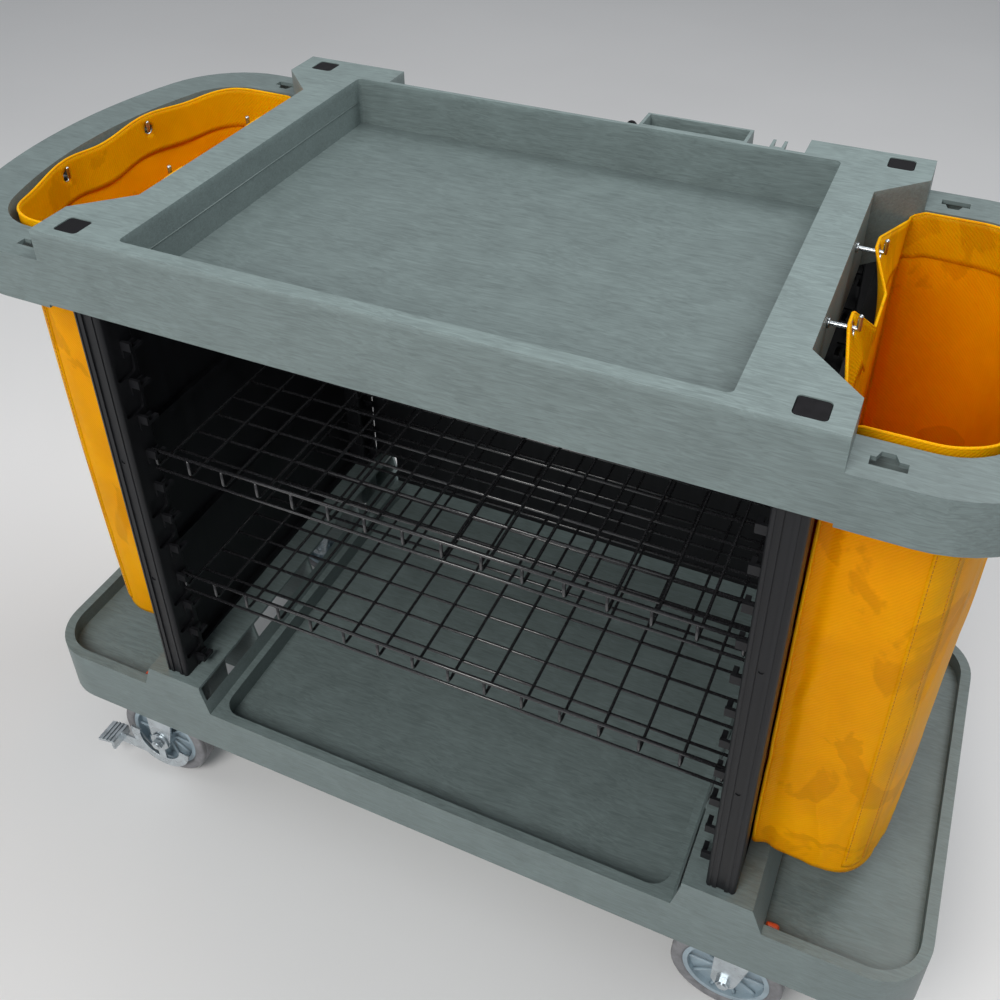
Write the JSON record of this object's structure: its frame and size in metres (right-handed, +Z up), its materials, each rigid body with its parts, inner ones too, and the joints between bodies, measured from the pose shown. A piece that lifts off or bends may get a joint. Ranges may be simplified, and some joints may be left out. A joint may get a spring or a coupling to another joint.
{
  "type": "housekeeping cart",
  "caption": "Housekeeping cart with moulded deck and base, black side panels, lift-out wire shelves, end bags on hoops and swivel casters.",
  "frame": {"origin": "floor level below the middle of the cart", "axes": "+X along the cart to its right end, +Y from the open front to the back, +Z up"},
  "size_m": [1.3, 0.562, 1.01],
  "materials": {
    "grey_moulding": "structural foam moulding with faint flow streaks, satin",
    "black_moulding": "fine textured black polypropylene",
    "black_trim": "smooth black plastic",
    "black_wire": "black powder coat, semi gloss",
    "zinc_steel": "bright zinc plating",
    "red_clip": "glossy red plastic",
    "bag_fabric": "coated woven polyester, slight sheen",
    "grey_tyre": "grey non-marking rubber",
    "hub_plastic": "light blue grey plastic"
  },
  "bodies": {
    "cart": {"deck_top": "grey_moulding", "tool_pocket": "grey_moulding", "tool_bracket": "grey_moulding", "base_platform": "grey_moulding", "bag_frame_left": "grey_moulding", "bag_frame_right": "grey_moulding", "back_panel": "black_moulding", "side_panel_left_lower": "black_moulding", "side_panel_left_middle": "black_moulding", "side_panel_left_upper": "black_moulding", "side_panel_right_lower": "black_moulding", "side_panel_right_middle": "black_moulding", "side_panel_right_upper": "black_moulding", "ear_plugs": "black_trim", "tool_knob": "black_trim", "pocket_screws": "zinc_steel", "tie_rods": "zinc_steel", "tie_nuts": "zinc_steel", "frame_bolts": "zinc_steel", "caster_bolts": "zinc_steel", "bag_hooks_left": "zinc_steel", "bag_hooks_right": "zinc_steel", "caster_plate_front_left": "zinc_steel", "caster_plate_back_left": "zinc_steel", "caster_plate_front_right": "zinc_steel", "caster_plate_back_right": "zinc_steel", "platform_clips": "red_clip", "bag_left": "bag_fabric", "bag_right": "bag_fabric"},
    "swivel_front_left": {"caster_fork_front_left": "zinc_steel", "caster_axle_front_left": "zinc_steel"},
    "wheel_front_left": {"wheel_hub_front_left": "hub_plastic", "wheel_tyre_front_left": "grey_tyre"},
    "swivel_back_left": {"caster_fork_back_left": "zinc_steel", "caster_axle_back_left": "zinc_steel"},
    "wheel_back_left": {"wheel_hub_back_left": "hub_plastic", "wheel_tyre_back_left": "grey_tyre"},
    "swivel_front_right": {"caster_fork_front_right": "zinc_steel", "caster_axle_front_right": "zinc_steel"},
    "wheel_front_right": {"wheel_hub_front_right": "hub_plastic", "wheel_tyre_front_right": "grey_tyre"},
    "swivel_back_right": {"caster_fork_back_right": "zinc_steel", "caster_axle_back_right": "zinc_steel"},
    "wheel_back_right": {"wheel_hub_back_right": "hub_plastic", "wheel_tyre_back_right": "grey_tyre"},
    "pedal_front_left": {"brake_pedal_front_left": "zinc_steel"},
    "pedal_back_left": {"brake_pedal_back_left": "zinc_steel"},
    "shelf_upper": {"shelf_mesh_upper": "black_wire", "shelf_front_rail_upper": "black_wire", "shelf_back_rail_upper": "black_wire"},
    "shelf_lower": {"shelf_mesh_lower": "black_wire", "shelf_front_rail_lower": "black_wire", "shelf_back_rail_lower": "black_wire"}
  },
  "joints": [
    {"name": "swivel_turn_front_left", "type": "hinge", "parent": "cart", "child": "swivel_front_left", "pos_m": [-0.452, -0.231, 0.17], "axis": [0, 0, 1], "continuous": true},
    {"name": "wheel_roll_front_left", "type": "hinge", "parent": "swivel_front_left", "child": "wheel_front_left", "pos_m": [-0.486, -0.231, 0.075], "axis": [0, 1, 0], "continuous": true},
    {"name": "swivel_turn_back_left", "type": "hinge", "parent": "cart", "child": "swivel_back_left", "pos_m": [-0.452, 0.231, 0.17], "axis": [0, 0, 1], "continuous": true},
    {"name": "wheel_roll_back_left", "type": "hinge", "parent": "swivel_back_left", "child": "wheel_back_left", "pos_m": [-0.486, 0.231, 0.075], "axis": [0, 1, 0], "continuous": true},
    {"name": "swivel_turn_front_right", "type": "hinge", "parent": "cart", "child": "swivel_front_right", "pos_m": [0.452, -0.231, 0.17], "axis": [0, 0, 1], "continuous": true},
    {"name": "wheel_roll_front_right", "type": "hinge", "parent": "swivel_front_right", "child": "wheel_front_right", "pos_m": [0.418, -0.231, 0.075], "axis": [0, 1, 0], "continuous": true},
    {"name": "swivel_turn_back_right", "type": "hinge", "parent": "cart", "child": "swivel_back_right", "pos_m": [0.452, 0.231, 0.17], "axis": [0, 0, 1], "continuous": true},
    {"name": "wheel_roll_back_right", "type": "hinge", "parent": "swivel_back_right", "child": "wheel_back_right", "pos_m": [0.418, 0.231, 0.075], "axis": [0, 1, 0], "continuous": true},
    {"name": "brake_press_front_left", "type": "hinge", "parent": "swivel_front_left", "child": "pedal_front_left", "pos_m": [-0.486, -0.231, 0.075], "axis": [0, -1, 0], "range_deg": [0, 14]},
    {"name": "brake_press_back_left", "type": "hinge", "parent": "swivel_back_left", "child": "pedal_back_left", "pos_m": [-0.486, 0.231, 0.075], "axis": [0, -1, 0], "range_deg": [0, 14]},
    {"name": "shelf_lift_upper", "type": "slide", "parent": "cart", "child": "shelf_upper", "axis": [0, 0, 1], "range_m": [0, 0.018]},
    {"name": "shelf_lift_lower", "type": "slide", "parent": "cart", "child": "shelf_lower", "axis": [0, 0, 1], "range_m": [0, 0.018]}
  ]
}
